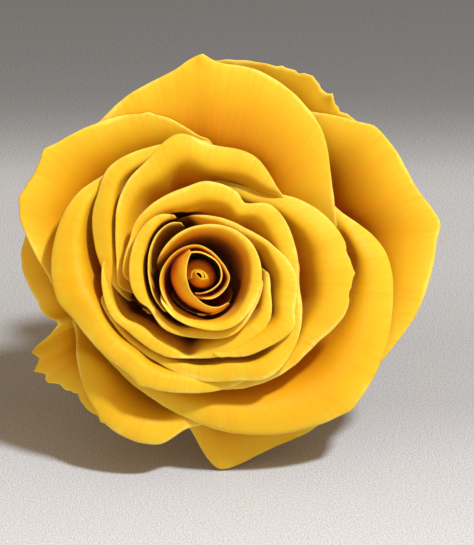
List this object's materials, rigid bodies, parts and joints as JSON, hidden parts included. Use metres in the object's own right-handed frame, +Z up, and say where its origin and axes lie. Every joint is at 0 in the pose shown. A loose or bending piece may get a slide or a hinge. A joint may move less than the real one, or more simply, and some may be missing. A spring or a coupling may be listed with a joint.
{
  "type": "preserved rose",
  "caption": "Preserved rose head with waved petals wrapped round a rolled bud, a green calyx and a short cut stem, lying on its lower petals.",
  "frame": {"origin": "middle of the flower's box, on the surface that the flower lies on", "axes": "+Z up from that surface. The bloom faces -Y and rises 25 degrees above the level. +X is to the right as seen from in front of the bloom."},
  "size_m": [0.0628, 0.0576, 0.0586],
  "materials": {
    "petal": "soft velvety petal tissue, preserved in glycerine, satin with fine veins",
    "bud": "soft velvety petal tissue of the closed bud, deeper yellow",
    "calyx": "dull green sepals, hip and stem, finely ribbed"
  },
  "bodies": {
    "root": {"petal_cup": "petal", "petal_cup_left": "petal", "petal_heart_lip": "petal", "petal_right_inner": "petal", "petal_top_inner": "petal", "petal_low_inner": "petal", "petal_peak": "petal", "petal_lower_lip": "petal", "petal_right_middle": "petal", "petal_left_second": "petal", "petal_left_lip": "petal", "petal_lower_right": "petal", "petal_left_top": "petal", "petal_top": "petal", "petal_right_outer": "petal", "petal_lower_left": "petal", "petal_left_low": "petal", "petal_bottom": "petal", "petal_top_behind": "petal", "guard_left": "petal", "guard_lower_left": "petal", "guard_lower_right": "petal", "guard_right": "petal", "guard_top": "petal", "heart": "bud", "calyx": "calyx"}
  },
  "joints": []
}
